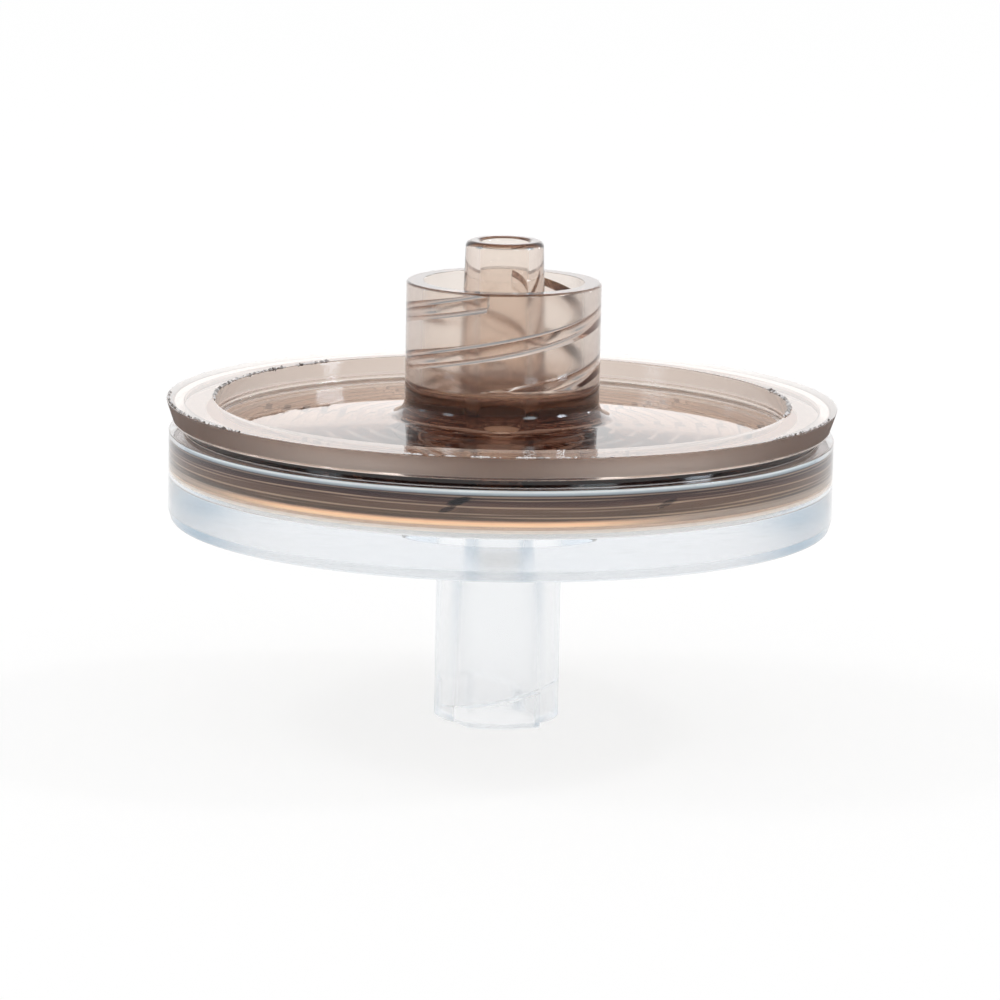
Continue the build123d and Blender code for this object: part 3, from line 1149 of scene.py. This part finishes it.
# Painted light: the seam's inner wall, seen at the back of the part, is painted paler than its dark outer
# wall.
INNER_MELT_PAINTED_LIGHT = (0.86, 0.78, 0.70, 1.0)
INNER_COVER = 0.75
VEIL_FOOT = (0.17, 0.20)
VEIL_TOP = (0.82, 0.74)
LINE_PITCH = 0.17
LINE_BEAT = 0.37
LINE_DRIFT = (60.0, 60.0, 900.0)
LINE_WANDER = 9.0
LINE_RUN = (0.2, 1.9)
LINE_TINT = (0.40, 0.29, 0.21, 1.0)
MARK_TINT = (0.004, 0.003, 0.006, 1.0)
MARK_SLANT = 1.6
MARK_RUN = (1.0, 0.3)
# Place across, level, half width, half height, all in millimetres, and strength.
MELT_MARKS = (
    (-1.95, 14.12, 0.50, 0.30, 1.0),
    (-2.5, 13.70, 0.34, 0.24, 0.8),
    (8.0, 13.85, 0.34, 0.28, 0.6),
)
# Painted light: the bright orange bead at the seam's foot is lit most at its middle and falls off to a
# duller colour away from it.
BEAD_TOP = (0.20, 0.17)
BEAD_LIT_MIDDLE = -3.0
BEAD_LIGHT_REACH = (6.0, 13.0)
BEAD_PAINTED_FALLOFF = (0.36, 0.29, 0.24, 1.0)


def ramp(value, stops):
    """A colour that changes with a value, through stops (place, colour)."""
    node = add_node(value.id_data, "ShaderNodeValToRGB", {0: value})
    band = node.color_ramp
    band.elements[0].color = (*stops[0][1], 1.0)
    band.elements[-1].color = (*stops[-1][1], 1.0)
    for at, shade in stops[1:-1]:
        band.elements.new(at).color = (*shade, 1.0)
    return node.outputs[0]


def level_lines(place, height):
    """Fine uneven level lines: the sum of two sines of the height, the second slower by the beat, both
    pushed up and down by a noise that is stretched round the ring."""
    stretch = {"Vector": place, "Scale": LINE_DRIFT}
    stretched = add_node(place.id_data, "ShaderNodeMapping", stretch).outputs[0]
    swing = times(noise(stretched, 1.0), LINE_WANDER)
    turns = maths("ADD", times(height, 2 * np.pi / (LINE_PITCH * MM)), swing)
    slower = maths("ADD", times(turns, LINE_BEAT), swing)
    both = maths("ADD", maths("SINE", turns), maths("SINE", slower))
    return smooth_step(both, *LINE_RUN)


def melt_mark(parts, middle, level, half_width, half_height):
    """1 in a slanted oval on the ring's front, with a soft edge: the middle moves aside by the slant for
    each millimetre of height, and the squares of the two distances from it, as shares of the half sizes,
    are added."""
    rise = minus(parts["Z"], level * MM)
    aside = minus(parts["X"], middle * MM)
    aside = minus(aside, times(rise, MARK_SLANT))
    tall = maths("DIVIDE", rise, half_height * MM)
    wide = maths("DIVIDE", aside, half_width * MM)
    off = maths("ADD", times(tall, tall), times(wide, wide))
    front = maths("LESS_THAN", parts["Y"], 0.0)
    return times(smooth_step(off, *MARK_RUN), front)


def seam_material():
    """Matt melt with painted light and shade, its colour and cover by height. The veil has level lines and
    dark marks, the bright bead is painted light that dulls away from its lit middle, and the inner wall is
    painted paler all over. No wall shows from behind."""
    material, tree, shader = new_material("weld_melt_and_painted_light")
    place = object_place(tree)
    parts = split(place)
    span = {0: parts["Z"], 1: seam_low * MM, 2: cup_rim * MM}
    share = add_node(tree, "ShaderNodeMapRange", span).outputs[0]
    veil = times(smooth_step(share, *VEIL_FOOT), smooth_step(share, *VEIL_TOP))
    lines = times(level_lines(place, parts["Z"]), veil)
    inner = face_value(tree, "inner")
    outer = minus(1.0, inner)
    colour = mixed(lines, ramp(share, [(at, shade) for at, shade, _ in SEAM_STOPS]), LINE_TINT)
    colour = mixed(inner, colour, INNER_MELT_PAINTED_LIGHT)
    cover = ramp(share, [(at, (amount,) * 3) for at, _, amount in SEAM_STOPS])
    cover = blended(inner, cover, INNER_COVER)
    for *oval, strength in MELT_MARKS:
        mark = times(melt_mark(parts, *oval), strength)
        colour = mixed(mark, colour, MARK_TINT)
        cover = maths("MAXIMUM", cover, times(mark, outer))
    # Painted light: the bead dulls away from its lit middle.
    from_middle = maths("ABSOLUTE", minus(parts["X"], BEAD_LIT_MIDDLE * MM))
    light_falloff = smooth_step(from_middle, BEAD_LIGHT_REACH[0] * MM, BEAD_LIGHT_REACH[1] * MM)
    bead = smooth_step(share, *BEAD_TOP)
    colour = mixed(times(light_falloff, bead), colour, BEAD_PAINTED_FALLOFF)
    facing = minus(1.0, add_node(tree, "ShaderNodeNewGeometry").outputs["Backfacing"])
    looks = {
        "Base Color": colour,
        "Alpha": times(cover, facing),
        "Roughness": 0.7,
        "Specular IOR Level": 0.0,
    }
    fill_in(shader, looks)
    return material


seam_reach = face_places(seam.data)[0]
mark_faces(seam, "inner", seam_reach < (plug_radius + cup_bore_radius) / 2)
seam.data.materials.append(seam_material())

# %% [markdown]
# ## Crumbs on the rim
# Where the gate was broken off and where the mould's halves met, crumbs of plastic stay on the rim's edges.
# Each is a squashed eight-sided grain, longer along the edge than across it. Some are whitened by the break
# and some stay dark, so each face carries its grain's tone. The draws are seeded, and in one fixed order.

# %% Crumbs on the rim
# First and last angle, radius, pale share, least and greatest size, and count.
CRUMB_PATCHES = (
    (177.0, 221.0, flange_radius - 0.13, 0.35, 0.05, 0.12, 90),
    (128.0, 186.0, recess_radius + 0.04, 0.50, 0.07, 0.17, 110),
    (322.0, 346.0, flange_radius - 0.13, 0.45, 0.05, 0.12, 50),
    (346.0, 379.0, recess_radius + 0.04, 0.50, 0.08, 0.19, 60),
    (254.0, 290.0, flange_radius - 0.12, 0.95, 0.05, 0.10, 34),
)
CRUMB_PALE = 0.85
CRUMB_DULL = 0.35
CRUMB_DARK = 0.03
CRUMB_SEED = 11
DULL_SHARE = 0.6
CRUMB_LIFT = 0.02
CRUMB_STRETCH = (1.0, 3.5)
CRUMB_HEIGHT = 0.9
CRUMB_LEAST = 0.6
# Corners of a grain's faces: four points round it, then the top and the bottom.
GRAIN_FACES = ((0, 1, 4), (1, 2, 4), (2, 3, 4), (3, 0, 4), (1, 0, 5), (2, 1, 5), (3, 2, 5), (0, 3, 5))


def rim_crumbs():
    """Eight-sided grains at random angles in their patches: six points out from the axis, along the edge
    and up, each way, and each pulled in a little at random."""
    random = np.random.default_rng(CRUMB_SEED)
    patches = np.repeat(CRUMB_PATCHES, [count for *_, count in CRUMB_PATCHES], axis=0)
    first, last, reach, share, least, most, _ = patches.T
    turn = np.radians(random.uniform(first, last))
    pale = random.random(turn.size) < share
    size = random.uniform(least, most)
    out = np.stack([np.cos(turn), np.sin(turn), 0 * turn], axis=1)
    along = np.stack([-np.sin(turn), np.cos(turn), 0 * turn], axis=1)
    up = np.broadcast_to([0.0, 0.0, 1.0], out.shape)
    middle = out * reach[:, None] + up * (flange_top + CRUMB_LIFT)
    long = along * random.uniform(*CRUMB_STRETCH, turn.size)[:, None]
    arms = np.stack([out, long, -out, -long, up * CRUMB_HEIGHT, -up * CRUMB_HEIGHT], axis=1)
    arms = arms * random.uniform(CRUMB_LEAST, 1.0, arms.shape[:2])[..., None] * size[:, None, None]
    points = (middle[:, None] + arms).reshape(-1, 3) * MM
    faces = (np.arange(turn.size)[:, None, None] * arms.shape[1] + np.array(GRAIN_FACES)).reshape(-1, 3)
    mesh = bpy.data.meshes.new("rim_crumbs")
    mesh.from_pydata(points, [], faces)
    piece = new_object("rim_crumbs", mesh)
    dull = np.where(random.random(turn.size) < DULL_SHARE, CRUMB_DULL, CRUMB_DARK)
    mark_faces(piece, "tone", np.repeat(np.where(pale, CRUMB_PALE, dull), len(GRAIN_FACES)))
    return piece


crumbs = rim_crumbs()
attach(crumbs, "root")


TORN_DARK = (0.02, 0.015, 0.012, 1.0)
TORN_PALE = (0.93, 0.93, 0.95, 1.0)
TORN_GRAIN = (0.55, 0.46, 0.40, 1.0)
GRAIN_SIZE = 9000.0
GRAIN_SHARE = 0.3


def crumb_material():
    """Torn plastic: each grain's own tone, broken up by a fine noise."""
    material, tree, shader = new_material("torn_plastic")
    grain = times(noise(object_place(tree), GRAIN_SIZE), GRAIN_SHARE)
    shade = mixed(face_value(tree, "tone"), TORN_DARK, TORN_PALE)
    fill_in(shader, {"Base Color": mixed(grain, shade, TORN_GRAIN), "Roughness": 0.4})
    return material


crumbs.data.materials.append(crumb_material())

# %% [markdown]
# ## Settings
# A ray through this part crosses a dozen surfaces before it is out again, so it gets enough bounces to
# arrive. The view stays plain, so that white paper comes out white.

# %% Bounces and view
scene = bpy.context.scene
scene.cycles.max_bounces = 12
scene.cycles.transmission_bounces = 12
scene.cycles.glossy_bounces = 6
scene.cycles.diffuse_bounces = 3
scene.cycles.transparent_max_bounces = 12
scene.view_settings.view_transform = "Standard"

# %% Gather both boxes and finish
visual_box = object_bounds()
boxes = {"cad": cad_box, "visual": visual_box}
boxes = {name: [list(map(float, corner)) for corner in box] for name, box in boxes.items()}
print("visual box:", visual_box)
